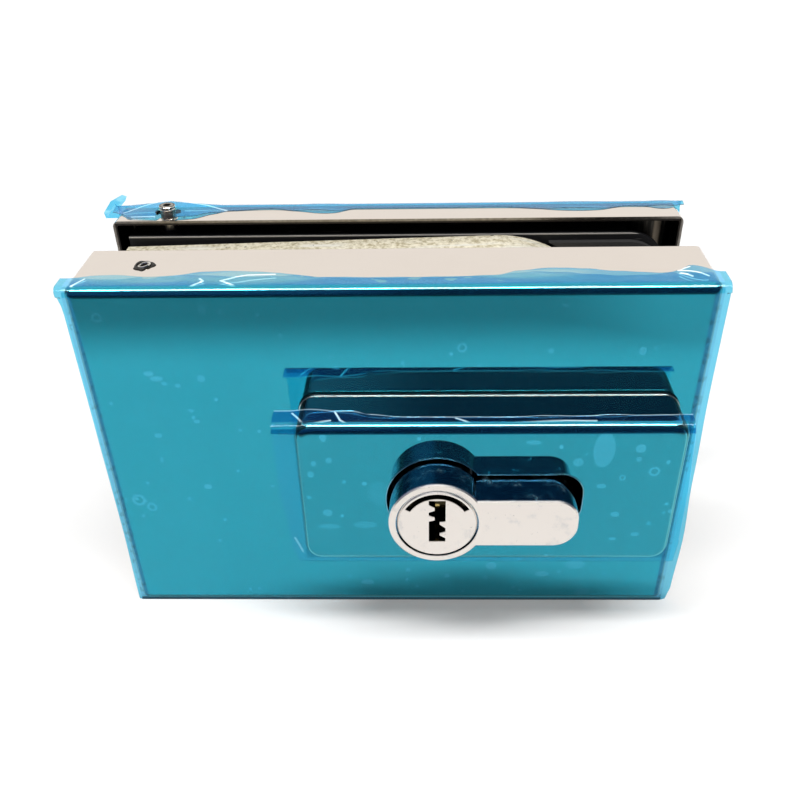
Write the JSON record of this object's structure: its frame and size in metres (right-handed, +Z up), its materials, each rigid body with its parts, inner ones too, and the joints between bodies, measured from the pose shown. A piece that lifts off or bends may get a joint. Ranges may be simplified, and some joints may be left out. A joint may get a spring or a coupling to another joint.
{
  "type": "glass door lock",
  "caption": "Clamp-on lock for the edge of a frameless glass door, with two polished steel covers under blue film and a half euro profile key cylinder that throws a flat bolt.",
  "frame": {"origin": "bottom centre of the whole lock, bolt drawn in", "axes": "+X along the covers, away from the bolt; +Y from the key side to the far side of the door; +Z up"},
  "size_m": [0.1124, 0.0584, 0.0716],
  "materials": {
    "polished_steel": "mirror polished stainless steel sheet",
    "blue_film": "clear blue protective film",
    "cast_zinc": "rough zinc alloy casting, straw tint",
    "black_steel": "black coated steel plate",
    "black_rubber": "matt",
    "satin_steel": "satin",
    "zinc_steel": "zinc plated",
    "spring_steel": "blank",
    "sintered_steel": "sintered, oiled",
    "nickel_plate": "nickel plated brass, face satin, sides bright",
    "brass": "bright",
    "set_screw_steel": "dark, worn"
  },
  "bodies": {
    "case": {"front_cover": "polished_steel", "cylinder_housing": "polished_steel", "housing_studs": "zinc_steel", "housing_screws": "zinc_steel", "rear_cover": "polished_steel", "front_cover_film": "blue_film", "housing_film": "blue_film", "rear_cover_film": "blue_film", "cylinder_guard": "cast_zinc", "guard_screws": "zinc_steel", "front_plate": "black_steel", "body_screws": "zinc_steel", "rear_plate": "black_steel", "front_gasket": "black_rubber", "rear_gasket": "black_rubber", "clamp_screws": "zinc_steel", "lock_body": "cast_zinc", "forend_plate": "satin_steel", "forend_screws": "zinc_steel", "bolt_guide_pin": "zinc_steel", "friction_spring": "spring_steel", "cylinder_body": "nickel_plate", "driver_pins": "satin_steel", "pin_springs": "spring_steel", "bore_plugs": "brass", "cylinder_screw": "zinc_steel", "front_set_screws": "set_screw_steel", "rear_set_screws": "set_screw_steel"},
    "bolt": {"bolt": "satin_steel"},
    "plug": {"cylinder_plug": "nickel_plate", "cylinder_cam": "sintered_steel", "plug_clip": "spring_steel", "key_pins": "brass"}
  },
  "joints": [
    {"name": "key_turn", "type": "hinge", "parent": "case", "child": "plug", "pos_m": [0.0078, -0.0292, 0.0343], "axis": [0, -1, 0], "range_deg": [0, 70.01]},
    {"name": "bolt_slide", "type": "slide", "parent": "case", "child": "bolt", "axis": [-1, 0, 0], "range_m": [0, 0.01537]}
  ],
  "couplings": [
    {"joint": "key_turn", "follows": "bolt_slide", "rad_per_m": 79.478}
  ]
}
